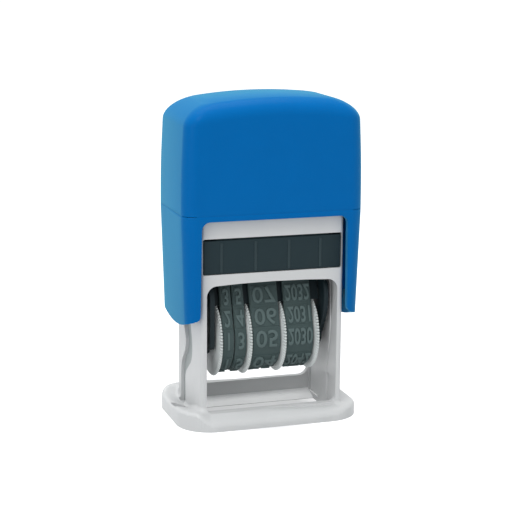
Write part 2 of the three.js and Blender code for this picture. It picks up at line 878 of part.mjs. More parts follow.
// The first wheel's hub is on its right, under the tens band, and the others' are on the left.
const intoRim = rimThickness / 2;
const wheels = {
  day_tens_wheel: [tensRim, [tensRim + intoRim, tensBand + dayBandWidth]],
  day_units_wheel: [unitsRim, [unitsBand, unitsRim + intoRim]],
  month_wheel: [monthRim, [monthBand, monthRim + intoRim]],
  year_wheel: [yearRim, [yearBand, yearRim + intoRim]],
};
for (const [name, [rimLeft, hubSpan]] of Object.entries(wheels))
  unitGroup.add(meshOf(name, makeWheel(rimLeft, hubSpan), "wheel"));
stamp.add(unitGroup);

export default stamp;
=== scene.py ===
# Self-inking date stamp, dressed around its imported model. The sizes of its pieces are in
# millimetres, and to_object() writes a finished mesh in metres.
import math

import bmesh
import bpy
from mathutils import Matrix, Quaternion, Vector


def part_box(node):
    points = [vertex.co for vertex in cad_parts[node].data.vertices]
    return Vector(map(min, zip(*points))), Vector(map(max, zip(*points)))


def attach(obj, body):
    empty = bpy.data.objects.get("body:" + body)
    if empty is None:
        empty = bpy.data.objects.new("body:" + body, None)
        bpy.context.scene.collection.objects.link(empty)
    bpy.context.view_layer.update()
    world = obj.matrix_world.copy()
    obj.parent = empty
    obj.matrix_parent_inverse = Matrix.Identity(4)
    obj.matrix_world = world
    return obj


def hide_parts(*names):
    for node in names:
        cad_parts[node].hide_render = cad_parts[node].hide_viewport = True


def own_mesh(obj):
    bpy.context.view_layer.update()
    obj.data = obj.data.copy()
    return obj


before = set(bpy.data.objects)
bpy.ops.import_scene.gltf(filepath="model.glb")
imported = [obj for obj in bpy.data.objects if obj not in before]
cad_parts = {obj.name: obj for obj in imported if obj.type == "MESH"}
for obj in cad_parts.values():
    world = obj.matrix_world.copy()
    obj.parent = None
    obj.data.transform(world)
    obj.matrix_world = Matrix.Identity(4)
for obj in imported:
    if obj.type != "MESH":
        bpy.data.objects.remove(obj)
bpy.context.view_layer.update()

# Camera
# A long lens looks down at the stamp a little, from the left of its front. The camera and the
# lamps are placed in metres.
MM = 0.001
camera_yaw = math.radians(18.135)
camera_pitch = math.radians(12.024)
camera_roll = math.radians(0.469)
camera_distance = 352.555 * MM
camera_target = Vector((-0.501 * MM, 0, 37.249 * MM))
focal_pixels = 1505.2
frame_pixels = 515
sensor_width = 36

looking = Vector(
    (
        math.sin(camera_yaw) * math.cos(camera_pitch),
        math.cos(camera_yaw) * math.cos(camera_pitch),
        -math.sin(camera_pitch),
    )
)
camera = bpy.data.objects.new("camera", bpy.data.cameras.new("camera"))
camera.data.sensor_width = sensor_width
camera.data.lens = focal_pixels * sensor_width / frame_pixels
camera.data.clip_start = camera_distance / 100
camera.location = camera_target - camera_distance * looking
camera.rotation_mode = "QUATERNION"
camera.rotation_quaternion = looking.to_track_quat("-Z", "Y") @ Quaternion((0, 0, 1), camera_roll)
bpy.context.scene.collection.objects.link(camera)
bpy.context.scene.camera = camera
bpy.context.scene.view_settings.view_transform = "Standard"

# Studio
# A high soft box in front on the left, one above, weaker ones low on the left and on the right,
# and a pale floor that shows white to the camera and in reflections, less so inside the base, where
# its glow is dimmed as a painted shade.


def soft_box(name, place, aim, size, power):
    """An area lamp that shines at a point."""
    lamp = bpy.data.lights.new(name, "AREA")
    lamp.shape = "SQUARE"
    lamp.size = size
    lamp.energy = power
    made = bpy.data.objects.new(name, lamp)
    made.location = place
    made.rotation_mode = "QUATERNION"
    made.rotation_quaternion = (Vector(aim) - Vector(place)).to_track_quat("-Z", "Y")
    bpy.context.scene.collection.objects.link(made)


stamp_middle = (0, 0, 0.035)
soft_box("key_lamp", (-0.2, -0.32, 0.66), stamp_middle, 0.35, 1.9)
soft_box("low_lamp", (-0.46, -0.4, 0.2), stamp_middle, 0.4, 0.62)
soft_box("fill_lamp", (0.45, -0.35, 0.25), stamp_middle, 0.4, 0.16)
soft_box("top_lamp", (0.0, 0.12, 0.6), stamp_middle, 0.4, 1.75)

world = bpy.data.worlds.new("studio")
bpy.context.scene.world = world
world.use_nodes = True
world_nodes = world.node_tree.nodes
world_links = world.node_tree.links
ambient = world_nodes["Background"]
ambient.inputs["Color"].default_value = (0.94, 0.985, 0.985, 1)
ambient.inputs["Strength"].default_value = 0.58
backdrop = world_nodes.new("ShaderNodeBackground")
backdrop.inputs["Color"].default_value = (1, 1, 1, 1)


def seen_directly(nodes, links):
    """The light path's share that looks at the background: camera, glossy and glass rays."""
    path = nodes.new("ShaderNodeLightPath")
    share = path.outputs["Is Camera Ray"]
    for kind in ("Is Glossy Ray", "Is Transmission Ray"):
        either = nodes.new("ShaderNodeMath")
        either.operation = "MAXIMUM"
        links.new(share, either.inputs[0])
        links.new(path.outputs[kind], either.inputs[1])
        share = either.outputs[0]
    return share


choice = world_nodes.new("ShaderNodeMixShader")
world_links.new(seen_directly(world_nodes, world_links), choice.inputs["Fac"])
world_links.new(ambient.outputs["Background"], choice.inputs[1])
world_links.new(backdrop.outputs["Background"], choice.inputs[2])
world_links.new(choice.outputs["Shader"], world_nodes["World Output"].inputs["Surface"])

floor_size = 6
opening_reach = 12 * MM
outside_reach = 18 * MM
shaded_opening_glow = 0.3
outside_glow = 0.72
floor_mesh = bmesh.new()
bmesh.ops.create_grid(floor_mesh, x_segments=1, y_segments=1, size=floor_size)
floor = bpy.data.objects.new("floor", bpy.data.meshes.new("floor"))
floor_mesh.to_mesh(floor.data)
floor_mesh.free()
bpy.context.scene.collection.objects.link(floor)
floor_finish = bpy.data.materials.new("floor_paper")
floor_finish.use_nodes = True
floor_nodes = floor_finish.node_tree.nodes
floor_links = floor_finish.node_tree.links
paper = floor_nodes["Principled BSDF"]
paper.inputs["Base Color"].default_value = (0.58, 0.58, 0.59, 1)
paper.inputs["Roughness"].default_value = 0.9
paper.inputs["Specular IOR Level"].default_value = 0.1
floor_place = floor_nodes.new("ShaderNodeTexCoord")
from_middle = floor_nodes.new("ShaderNodeVectorMath")
from_middle.operation = "LENGTH"
floor_links.new(floor_place.outputs["Object"], from_middle.inputs[0])
# The floor's glow is lower near the middle, under the stamp: a painted shade on the floor seen
# through the print opening
glow = floor_nodes.new("ShaderNodeMapRange")
glow.inputs["From Min"].default_value = opening_reach
glow.inputs["From Max"].default_value = outside_reach
glow.inputs["To Min"].default_value = shaded_opening_glow
glow.inputs["To Max"].default_value = outside_glow
floor_links.new(from_middle.outputs["Value"], glow.inputs["Value"])
floor_lift = floor_nodes.new("ShaderNodeMath")
floor_lift.operation = "MULTIPLY"
floor_links.new(glow.outputs["Result"], floor_lift.inputs[1])
floor_links.new(seen_directly(floor_nodes, floor_links), floor_lift.inputs[0])
paper.inputs["Emission Color"].default_value = (1, 1, 1, 1)
floor_links.new(floor_lift.outputs[0], paper.inputs["Emission Strength"])
floor.data.materials.append(floor_finish)

# Stand
# One moulding in pale grey plastic: base, two side walls and the housing of the ink. The base
# is low in front and rises to a lobe on each side, and the walls run into it in fillets.


def moulded_plastic(name, colour, roughness, grain=0.12, shine=0.5):
    """Injection-moulded plastic: a fine spark-eroded grain, faint flow marks and dull patches."""
    finish = bpy.data.materials.new(name)
    finish.use_nodes = True
    nodes = finish.node_tree.nodes
    links = finish.node_tree.links
    shader = nodes["Principled BSDF"]
    shader.inputs["Specular IOR Level"].default_value = shine
    place = nodes.new("ShaderNodeTexCoord")
    flow = nodes.new("ShaderNodeTexNoise")
    flow.inputs["Scale"].default_value = 160
    flow.inputs["Detail"].default_value = 4
    flow.inputs["Distortion"].default_value = 0.6
    links.new(place.outputs["Object"], flow.inputs["Vector"])
    tint = nodes.new("ShaderNodeMix")
    tint.data_type = "RGBA"
    tint.inputs[6].default_value = (*[0.955 * part for part in colour], 1)
    tint.inputs[7].default_value = (*[min(1, 1.035 * part) for part in colour], 1)
    links.new(flow.outputs["Fac"], tint.inputs["Factor"])
    links.new(tint.outputs[2], shader.inputs["Base Color"])
    wear = nodes.new("ShaderNodeTexNoise")
    wear.inputs["Scale"].default_value = 420
    wear.inputs["Detail"].default_value = 6
    wear.inputs["Roughness"].default_value = 0.65
    links.new(place.outputs["Object"], wear.inputs["Vector"])
    dull = nodes.new("ShaderNodeMapRange")
    dull.inputs["From Min"].default_value = 0.35
    dull.inputs["From Max"].default_value = 0.65
    dull.inputs["To Min"].default_value = roughness - 0.04
    dull.inputs["To Max"].default_value = roughness + 0.05
    links.new(wear.outputs["Fac"], dull.inputs["Value"])
    links.new(dull.outputs["Result"], shader.inputs["Roughness"])
    spark = nodes.new("ShaderNodeTexNoise")
    spark.inputs["Scale"].default_value = 5200
    spark.inputs["Detail"].default_value = 2
    links.new(place.outputs["Object"], spark.inputs["Vector"])
    relief = nodes.new("ShaderNodeBump")
    relief.inputs["Strength"].default_value = grain
    relief.inputs["Distance"].default_value = 0.02 * MM
    links.new(spark.outputs["Fac"], relief.inputs["Height"])
    links.new(relief.outputs["Normal"], shader.inputs["Normal"])
    return finish


def round_off(bm, geom, width, segments, affect="EDGES", clamp=False):
    """Rounds corners or edges of a mesh."""
    bmesh.ops.bevel(
        bm,
        geom=geom,
        offset=width,
        offset_type="OFFSET",
        affect=affect,
        segments=segments,
        profile=0.5,
        clamp_overlap=clamp,
        material=-1,
    )


def verts_in(geom):
    """The vertices in what a mesh operator gives back."""
    return [one for one in geom if isinstance(one, bmesh.types.BMVert)]


def oblong(across, along):
    """The four corners of a rectangle, from its two spans."""
    return [(across[n], along[m]) for n, m in ((0, 0), (1, 0), (1, 1), (0, 1))]


def prism(points, axis, span, corners=None, segments=8):
    """An outline in the two other axes, drawn out along one. Corners maps a point to its radius."""
    bm = bmesh.new()
    flat = {"X": (1, 2, 0), "Y": (0, 2, 1), "Z": (0, 1, 2)}[axis]
    verts = []
    for point in points:
        place = Vector((0, 0, 0))
        place[flat[0]] = point[0]
        place[flat[1]] = point[1]
        place[flat[2]] = span[0]
        verts.append(bm.verts.new(place))
    bm.faces.new(verts)
    for at, radius in (corners or {}).items():
        round_off(bm, [verts[at]], radius, segments, "VERTICES")
    drawn = bmesh.ops.extrude_face_region(bm, geom=bm.faces[:])["geom"]
    shift = Vector((0, 0, 0))
    shift[flat[2]] = span[1] - span[0]
    bmesh.ops.translate(bm, vec=shift, verts=verts_in(drawn))
    bmesh.ops.recalc_face_normals(bm, faces=bm.faces[:])
    return bm


def block(*spans):
    """A box between three spans."""
    bm = bmesh.new()
    bmesh.ops.create_cube(bm, size=1)
    bmesh.ops.scale(bm, vec=[abs(high - low) for low, high in spans], verts=bm.verts)
    bmesh.ops.translate(bm, vec=[(low + high) / 2 for low, high in spans], verts=bm.verts)
    return bm


def carve(bm, cutter, operation="DIFFERENCE"):
    """Cuts, joins or crosses two solids, and gives the result."""
    solids = []
    for one in (bm, cutter):
        made = bpy.data.objects.new("solid", bpy.data.meshes.new("solid"))
        one.to_mesh(made.data)
        one.free()
        bpy.context.scene.collection.objects.link(made)
        solids.append(made)
    modifier = solids[0].modifiers.new("carve", "BOOLEAN")
    modifier.object = solids[1]
    modifier.operation = operation
    modifier.solver = "EXACT"
    result = bmesh.new()
    result.from_object(solids[0], bpy.context.evaluated_depsgraph_get())
    for made in solids:
        mesh = made.data
        bpy.data.objects.remove(made)
        bpy.data.meshes.remove(mesh)
    return result


flat_turn = math.radians(0.05)
sharp_turn = math.radians(50)
collapsed = 0.0005


def soften(bm, width, segments=2, where=lambda edge: True):
    """Rounds the sharp edges, clears faces that collapse there and closes the pinholes left."""
    bmesh.ops.dissolve_limit(bm, angle_limit=flat_turn, verts=bm.verts[:], edges=bm.edges[:])
    edges = [
        edge
        for edge in bm.edges
        if len(edge.link_faces) == 2 and edge.calc_face_angle(0) > sharp_turn and where(edge)
    ]
    round_off(bm, edges, width, segments, clamp=True)
    bmesh.ops.dissolve_degenerate(bm, dist=collapsed, edges=bm.edges[:])
    bmesh.ops.holes_fill(bm, edges=[edge for edge in bm.edges if edge.is_boundary], sides=4)


def to_object(name, bm, finish, sharp=35):
    """Writes a mesh made in millimetres as an object in metres, with smooth shading."""
    bmesh.ops.scale(bm, vec=(MM, MM, MM), verts=bm.verts)
    mesh = bpy.data.meshes.new(name)
    bm.to_mesh(mesh)
    bm.free()
    mesh.shade_smooth()
    mesh.set_sharp_from_angle(angle=math.radians(sharp))
    mesh.materials.append(finish)
    made = bpy.data.objects.new(name, mesh)
    bpy.context.scene.collection.objects.link(made)
    return made


def dress(piece, body, slot, *nodes):
    """Seats a finished piece on its body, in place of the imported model's own nodes."""
    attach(piece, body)
    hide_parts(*nodes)


def smooth_step(low, high, value):
    """Goes from 0 at the low value to 1 at the high one, level at both."""
    share = min(1, max(0, (value - low) / (high - low)))
    return share * share * (3 - 2 * share)


def inside_depth(x, y, half_x, half_y, radius):
    """How far a point lies inside a rounded rectangle; outside it is negative."""
    over_x = abs(x) - half_x + radius
    over_y = abs(y) - half_y + radius
    outside = math.hypot(max(over_x, 0), max(over_y, 0))
    return radius - outside - min(max(over_x, over_y), 0)


base_half_x = 21.8
base_half_y = 13.6
front_radius = 8
rear_radius = 6.6
left_lobe = 4.2
right_lobe = 3.05
lobe_change = (-16, 16)
left_climb = (14.8, 21.2)
right_low_climb = (9, 17)
right_high_climb = (16, 21.5)
low_climb_share = 0.25
rear_rise = 0.4
rear_climb = (4, 11)
rim_sink = 0.9
dish_sink = 1.4
dish_side = (16.6, 21.6)
dish_front = (-9, 1.5)
dish_rear = (8.5, 11.5)
lip_height = 1.6
slope_rise = 2.2
slope_run = 2.9
crease_blend = 0.7
base_edge = 0.9
foot_fillet = 1.1
wall_half_x = 17.15
wall_half_y = 10.15
wall_radius = 0.9
wall_foot = 1.1
well_half_x = 15.75
well_half_y = 8.75
fillet_inner = well_half_x - 0.4
stand_top = 50
past = 3


def base_height(x, y):
    """The height of the base's top: two lobes, the left one dished, a sloped front and fillets."""
    side = abs(x)
    lobe_height = left_lobe + (right_lobe - left_lobe) * smooth_step(*lobe_change, x)
    lobe_height += rear_rise * smooth_step(*rear_climb, y)
    if x < 0:
        climb = smooth_step(*left_climb, side)
        sink = rim_sink + dish_sink * (1 - smooth_step(*dish_side, side))
        lobe_height -= sink * smooth_step(*dish_front, y) * (1 - smooth_step(*dish_rear, y))
    else:
        climb = low_climb_share * smooth_step(*right_low_climb, side)
        climb += (1 - low_climb_share) * smooth_step(*right_high_climb, side)
    base_radius = front_radius if y < 0 else rear_radius
    lip = lip_height + climb * (lobe_height - lip_height)
    slope = lip + slope_rise * (y + base_half_y) / slope_run
    height = min(slope, lobe_height)
    height -= max(crease_blend - abs(slope - lobe_height), 0) ** 2 / (4 * crease_blend)
    edge = base_edge - inside_depth(x, y, base_half_x, base_half_y, base_radius)
    if edge > 0:
        height -= base_edge - math.sqrt(max(base_edge**2 - min(edge, base_edge) ** 2, 0))
    near = foot_fillet + inside_depth(x, y, wall_half_x, wall_half_y, wall_radius)
    if near > 0 and side > fillet_inner:
        near = min(near, foot_fillet)
        height += foot_fillet - math.sqrt(max(foot_fillet**2 - near**2, 0))
    return height


base_cell = 0.3
grid_half_x = base_half_x + 1
grid_half_y = base_half_y + 1
base = bmesh.new()
bmesh.ops.create_grid(
    base,
    x_segments=round(2 * grid_half_x / base_cell),
    y_segments=round(2 * grid_half_y / base_cell),
    size=1,
)
bmesh.ops.scale(base, vec=(grid_half_x, grid_half_y, 1), verts=base.verts)
top_verts = base.verts[:]
lowered = bmesh.ops.extrude_face_region(base, geom=base.faces[:], use_keep_orig=True)["geom"]
for vert in top_verts:
    vert.co.z = base_height(vert.co.x, vert.co.y)
bmesh.ops.translate(base, vec=(0, 0, -past), verts=verts_in(lowered))
bmesh.ops.recalc_face_normals(base, faces=base.faces[:])
base_outline = oblong((-base_half_x, base_half_x), (-base_half_y, base_half_y))
base_corners = {0: front_radius, 1: front_radius, 2: rear_radius, 3: rear_radius}
stand = carve(base, prism(base_outline, "Z", (0, 2 * left_lobe), base_corners, 48), "INTERSECT")
wall_outline = oblong((-wall_half_x, wall_half_x), (-wall_half_y, wall_half_y))
wall_corners = dict.fromkeys(range(4), wall_radius)
stand = carve(stand, prism(wall_outline, "Z", (wall_foot, stand_top), wall_corners, 4), "UNION")
stand = carve(
    stand,
    block((-well_half_x, well_half_x), (-well_half_y, well_half_y), (-past, stand_top + past)),
)

# A low ramp in the print opening, under the rear rail
ramp_front = 4.9
ramp_lip = 0.1
ramp_height = 1.6
sunk = 0.2
ramp_half = well_half_x + sunk
rear_ramp = [
    (ramp_front, 0),
    (well_half_y + sunk, 0),
    (well_half_y + sunk, ramp_height),
    (well_half_y, ramp_height),
    (ramp_front, ramp_lip),
]
stand = carve(stand, prism(rear_ramp, "X", (-ramp_half, ramp_half)), "UNION")

# Windows in the front and the rear wall, as wide as the inside, with a slightly crowned head
window_head = 33.3
window_crown = 0.5
window_radius = 2.3
for front, foot, foot_radius in ((True, 3.7, 1.2), (False, 5, window_radius)):
    window = [
        (-well_half_x, foot),
        (well_half_x, foot),
        (well_half_x, window_head),
        (0.5 * well_half_x, window_head + 0.75 * window_crown),
        (0, window_head + window_crown),
        (-0.5 * well_half_x, window_head + 0.75 * window_crown),
        (-well_half_x, window_head),
    ]
    span = (-base_half_y, -well_half_y + past) if front else (well_half_y - past, base_half_y)
    window_corners = {0: foot_radius, 1: foot_radius, 2: window_radius, 6: window_radius}
    stand = carve(stand, prism(window, "Y", span, window_corners, 10))

# The deck with slots for the yoke's legs, ledges for the ink cartridge, its bay under the deck
# and a cup for the spring on top
bay_foot = 36
bay_top = 44.3
bay_half_x = 16.65
bay_radius = 0.35
bay_rear = 0.05 - well_half_y
deck_foot = 44.4
deck_top = 46
deck_half_x = well_half_x + 0.7
deck_half_y = well_half_y + 0.7
ledge_half = 13.4
ledge_inner = 7.25
ledge_outer = 9.4
ledge_rise = (34.8, 37.5)
slot_inner = 14.3
slot_half = 2.8
slot_rise = (41, 49)
cup_radius = 5.8
cup_hollow = 4.8
stand = carve(
    stand,
    block((-deck_half_x, deck_half_x), (-deck_half_y, deck_half_y), (deck_foot, deck_top)),
    "UNION",
)
for end in (-1, 1):
    ledge = block((-ledge_half, ledge_half), (end * ledge_inner, end * ledge_outer), ledge_rise)
    stand = carve(stand, ledge, "UNION")
    leg_slot = block((end * slot_inner, end * well_half_x), (-slot_half, slot_half), slot_rise)
    stand = carve(stand, leg_slot)
bay_outline = oblong((-bay_half_x, bay_half_x), (bay_foot, bay_top))
bay_corners = dict.fromkeys(range(4), bay_radius)
stand = carve(stand, prism(bay_outline, "Y", (-wall_half_y - past, bay_rear), bay_corners, 4))
for radius, depth, rise, operation in (
    (cup_radius, 3, 0.5, "UNION"),
    (cup_hollow, 4, 2, "DIFFERENCE"),
):
    cup = bmesh.new()
    bmesh.ops.create_cone(
        cup, cap_ends=True, segments=64, radius1=radius, radius2=radius, depth=depth
    )
    bmesh.ops.translate(cup, vec=(0, 0, deck_top + rise), verts=cup.verts)
    stand = carve(stand, cup, operation)

# A cam groove down the outside of each side wall, and a pocket by the left one's foot. On the
# inside the groove's back stands a little proud, and shallow panels leave a rib under it.
groove = [
    (3.3, 1.7),
    (7.3, 1.7),
    (6.9, 11.6),
    (2.6, 15.9),
    (2.8, 18.6),
    (4.9, 22.4),
    (5.2, 30.4),
    (-0.9, 30.4),
    (-1.1, 23.2),
    (-3.0, 18.6),
    (-2.4, 14.2),
    (3.3, 9.9),
]
groove_corners = {2: 2.2, 3: 2.4, 4: 2.4, 5: 2, 6: 0.5, 7: 0.5, 8: 2, 9: 2.4, 10: 1.6, 11: 1.4}
groove_floor = wall_half_x - 0.8
groove_mouth = wall_half_x + 0.6
groove_back = [
    (1.7, 33),
    (-5.4, 33),
    (-5.9, 27),
    (-6.5, 20),
    (-4.6, 13),
    (-3.9, 9.2),
    (1.7, 9.2),
    (1.2, 14),
    (0.3, 19),
]
back_corners = {2: 4, 3: 4, 4: 3, 7: 3, 8: 4}
back_rise = 0.2
panel_sink = 0.4
panel_rise = (1.3, 9.2)
pocket = oblong((-21.3, -17.9), (-3, 1.4))
pocket_corners = dict.fromkeys(range(4), 0.4)
pocket_rise = (1.4, left_lobe + past)
for side in (-1, 1):
    span = (side * groove_floor, side * groove_mouth)
    stand = carve(stand, prism(groove, "X", span, groove_corners))
    if side < 0:
        stand = carve(stand, prism(pocket, "Z", pocket_rise, pocket_corners, 4))
    span = (side * (well_half_x - back_rise), side * (well_half_x + sunk))
    stand = carve(stand, prism(groove_back, "X", span, back_corners), "UNION")
    for depths in ((-8.2, -3.9), (1.7, 8.2)):
        span = (side * (well_half_x - 0.5), side * (well_half_x + panel_sink))
        stand = carve(stand, block(span, depths, panel_rise))

# The base stays crisp below. The groove's floor is a darker grey, a painted shade, and the ramp is
# a near-white grey that glows faintly, a painted light.
crisp_below = 6
soften(stand, 0.18, where=lambda edge: min(vert.co.z for vert in edge.verts) > crisp_below)
close = 0.05
# Faces on the groove's floor take the darker painted-shade finish, and the ramp's top takes the
# lighter, glowing painted-light finish
for face in stand.faces:
    middle = face.calc_center_median()
    if abs(abs(middle.x) - groove_floor) < close and abs(face.normal.x) > 0.99:
        face.material_index = 1
    on_ramp = ramp_front - close < middle.y < well_half_y and middle.z < ramp_height + close
    if on_ramp and face.normal.z > 0.8:
        face.material_index = 2
stand_finish = moulded_plastic("pale_grey_plastic", (0.635, 0.638, 0.642), 0.42)
# A darker grey for the groove's floor: painted shade
groove_shade_finish = moulded_plastic("groove_painted_shade_plastic", (0.36, 0.39, 0.39), 0.5)
# A near-white grey with a faint glow for the ramp: painted light, though the ramp is no lamp
ramp_painted_light_finish = moulded_plastic("ramp_painted_light_plastic", (0.95, 0.95, 0.955), 0.42)
ramp_painted_glow = ramp_painted_light_finish.node_tree.nodes["Principled BSDF"]
ramp_painted_glow.inputs["Emission Color"].default_value = (1, 1, 1, 1)
ramp_painted_glow.inputs["Emission Strength"].default_value = 0.09
stand_body = to_object("stand_body", stand, stand_finish)
stand_body.data.materials.append(groove_shade_finish)
stand_body.data.materials.append(ramp_painted_light_finish)
even_shading = stand_body.modifiers.new("even_shading", "WEIGHTED_NORMAL")
even_shading.keep_sharp = True
dress(stand_body, "stand", "stand", "stand_frame")

# Press cap
# One moulding in blue plastic, 1.5 mm thick, that slides down over the stand. A fine parting
# line runs round it where it is widest. Its front is plain and bare.
cap_foot = 23.4
cap_seam = 49.7
cap_shoulder = 71.7
cap_top = 75.8
cap_foot_half = Vector((20.7, 11.8))
cap_seam_half = Vector((21.5, 11.95))
cap_shoulder_half = Vector((20.95, 11.8))
cap_top_half = Vector((15.55, 8.2))
cap_corner = 3.3
cap_wall = 1.5
cap_arch = 115
cap_crest = 1.8
skirt_sag = 2.3
parting = 0.05
seam_gap = 0.002

cap_levels = [(cap_foot, cap_foot_half)]
for drop, inset in ((-0.5, 0), (-0.1, 0), (0, parting), (0.1, 0), (0.5, 0)):
    cap_levels.append((cap_seam + drop, cap_seam_half - Vector((inset, inset))))
upper_steps = 10
for step in range(1, upper_steps + 1):
    share = step / upper_steps
    cap_levels.append(
        (
            cap_seam + share * (cap_shoulder - cap_seam),
            cap_seam_half.lerp(cap_shoulder_half, share**2),
        )
    )
edge_steps = 10
edge_end = math.radians(74)
for step in range(1, edge_steps + 1):
    angle = edge_end * step / edge_steps
    inward = (1 - math.cos(angle)) / (1 - math.cos(edge_end))
    upward = math.sin(angle) / math.sin(edge_end)
    cap_levels.append(
        (
            cap_shoulder + upward * (cap_top - cap_shoulder),
            cap_shoulder_half.lerp(cap_top_half, inward),
        )
    )

# The foot's outline is drawn up level by level, and the last ring is bridged over as the crown
cap = bmesh.new()
bmesh.ops.create_grid(cap, x_segments=1, y_segments=1, size=1)
bmesh.ops.scale(cap, vec=(*cap_foot_half, 1), verts=cap.verts)
round_off(cap, cap.verts[:], cap_corner, 10, "VERTICES")
front_cuts = 23
side_cuts = 7


def runs_along(edge, axis):
    """Whether an edge is longer than 1 mm along an axis."""
    return abs(edge.verts[0].co[axis] - edge.verts[1].co[axis]) > 1


long_edges = [edge for edge in cap.edges if edge.calc_length() > 2 * cap_corner]
for edges, cuts in (
    ([edge for edge in long_edges if runs_along(edge, 0)], front_cuts),
    ([edge for edge in long_edges if runs_along(edge, 1)], side_cuts),
):
    bmesh.ops.subdivide_edges(cap, edges=edges, cuts=cuts)
rim = [edge for edge in cap.edges if edge.is_boundary]
bmesh.ops.translate(cap, vec=(0, 0, cap_foot), verts=cap.verts)
for (low, low_half), (high, high_half) in zip(cap_levels, cap_levels[1:]):
    raised = bmesh.ops.extrude_edge_only(cap, edges=rim)["geom"]
    verts = set(verts_in(raised))
    rim = [
        one
        for one in raised
        if isinstance(one, bmesh.types.BMEdge) and verts.issuperset(one.verts)
    ]
    stretch = (high_half.x / low_half.x, high_half.y / low_half.y, 1)
    bmesh.ops.scale(cap, vec=stretch, verts=list(verts))
    bmesh.ops.translate(cap, vec=(0, 0, high - low), verts=list(verts))
rim_reach = max(abs(edge.verts[0].co.x) for edge in rim) - 0.01
rails = [edge for edge in rim if min(abs(vert.co.x) for vert in edge.verts) < rim_reach]
crown = bmesh.ops.bridge_loops(cap, edges=rails)["faces"]
crossing = [
    edge
    for edge in {edge for face in crown for edge in face.edges}
    if edge.verts[0].co.y * edge.verts[1].co.y < 0
]
bmesh.ops.subdivide_edges(cap, edges=crossing, cuts=side_cuts, use_grid_fill=True)
bmesh.ops.remove_doubles(cap, verts=cap.verts, dist=seam_gap)

# The crown falls away to both sides along a wide arc, and the skirt's edge is an arc below
arch_fade = (cap_shoulder - 14, cap_shoulder)
skirt_arc = (cap_foot_half.y**2 + skirt_sag**2) / (2 * skirt_sag)
for vert in cap.verts:
    if vert.co.z < cap_foot + cap_wall:
        vert.co.z += skirt_arc - math.sqrt(skirt_arc**2 - vert.co.y**2)
    vert.co.z -= smooth_step(*arch_fade, vert.co.z) * (vert.co.x - cap_crest) ** 2 / (2 * cap_arch)
bmesh.ops.recalc_face_normals(cap, faces=cap.faces[:])
mouth = [face for face in cap.faces if face.normal.z < -0.5]
bmesh.ops.delete(cap, geom=mouth, context="FACES")
skin = bpy.data.meshes.new("walled")
cap.to_mesh(skin)
cap.free()
walled = bpy.data.objects.new("walled", skin)
bpy.context.scene.collection.objects.link(walled)
thickness = walled.modifiers.new("wall", "SOLIDIFY")
thickness.thickness = cap_wall
thickness.offset = -1
cap = bmesh.new()
cap.from_object(walled, bpy.context.evaluated_depsgraph_get())
bpy.data.objects.remove(walled)
bpy.data.meshes.remove(skin)

# The cut-outs in front and behind, open at the foot and a little wider there
cut_out_top = 48.5
cut_out_head = 17.37
cut_out_foot = 17.7
cut_out_radius = 1.9
leg_radius = 1.3
leg_foot = cap_foot + skirt_sag
nearly_full = 0.98
cut_out = [
    (-cut_out_foot - leg_radius, cap_foot - past),
    (cut_out_foot + leg_radius, cap_foot - past),
    (cut_out_foot + leg_radius, leg_foot),
    (cut_out_foot, leg_foot),
    (cut_out_head, cut_out_top),
    (-cut_out_head, cut_out_top),
    (-cut_out_foot, leg_foot),
    (-cut_out_foot - leg_radius, leg_foot),
]
foot_round = nearly_full * leg_radius
cut_out_corners = {3: foot_round, 4: cut_out_radius, 5: cut_out_radius, 6: foot_round}
cut_out_span = (-base_half_y - past, base_half_y + past)
cap = carve(cap, prism(cut_out, "Y", cut_out_span, cut_out_corners, 10))

# Two guide ribs in each leg run down the stand's side walls
guide_inner = 17.45
guide_outer = 20
guide_half = 0.6
guide_foot = 30
for side in (-1, 1):
    for middle in (-6, 6):
        depths = (middle - guide_half, middle + guide_half)
        guide = block((side * guide_inner, side * guide_outer), depths, (guide_foot, cut_out_top))
        cap = carve(cap, guide, "UNION")
soften(cap, 0.22, 3, lambda edge: max(vert.co.z for vert in edge.verts) < cap_seam)
cap_finish = moulded_plastic("blue_plastic", (0.0, 0.13, 0.42), 0.3, grain=0.03, shine=0)
gloss = cap_finish.node_tree.nodes["Principled BSDF"]
gloss.inputs["Coat Weight"].default_value = 0.07
gloss.inputs["Coat Roughness"].default_value = 0.25
gloss.inputs["Sheen Weight"].default_value = 0.5
gloss.inputs["Sheen Roughness"].default_value = 0.4
gloss.inputs["Sheen Tint"].default_value = (0.3, 1, 1, 1)
cap_shell = to_object("cap_shell", cap, cap_finish)
dress(cap_shell, "cap", "cap", "press_cap")

# Ink cartridge
# A tray in dark slate plastic that slides into the bay from the front. Its face plate is
# stepped back round the edge and has four thin upright ribs.
cartridge_half = 16.55
cartridge_foot = 36.1
cartridge_top = 44.2
plate_front = -9.9
plate_step = -9.25
plate_rear = -8.85
step_side = 0.2
step_foot = 0.05
step_top = 0.42
tray_half = 13.4
tray_front = plate_rear - 0.5
tray_rear = 8.35
tray_foot = 37.6
tray_wall = 1
tray_roof = 1.2
cartridge = block(
    (-cartridge_half, cartridge_half), (plate_step, plate_rear), (cartridge_foot, cartridge_top)
)
plate = block(
    (step_side - cartridge_half, cartridge_half - step_side),
    (plate_front, plate_step + sunk),
    (cartridge_foot + step_foot, cartridge_top - step_top),
)
cartridge = carve(cartridge, plate, "UNION")
tray = block((-tray_half, tray_half), (tray_front, tray_rear), (tray_foot, cartridge_top))
cartridge = carve(cartridge, tray, "UNION")
tray_hollow = block(
    (tray_wall - tray_half, tray_half - tray_wall),
    (plate_rear + tray_wall, tray_rear - tray_wall),
    (tray_foot - past, cartridge_top - tray_roof),
)
cartridge = carve(cartridge, tray_hollow)
soften(cartridge, 0.1)
slate_finish = moulded_plastic("slate_plastic", (0.019, 0.034, 0.04), 0.5, 0.1, 0.12)
cartridge_tray = to_object("cartridge_tray", cartridge, slate_finish)
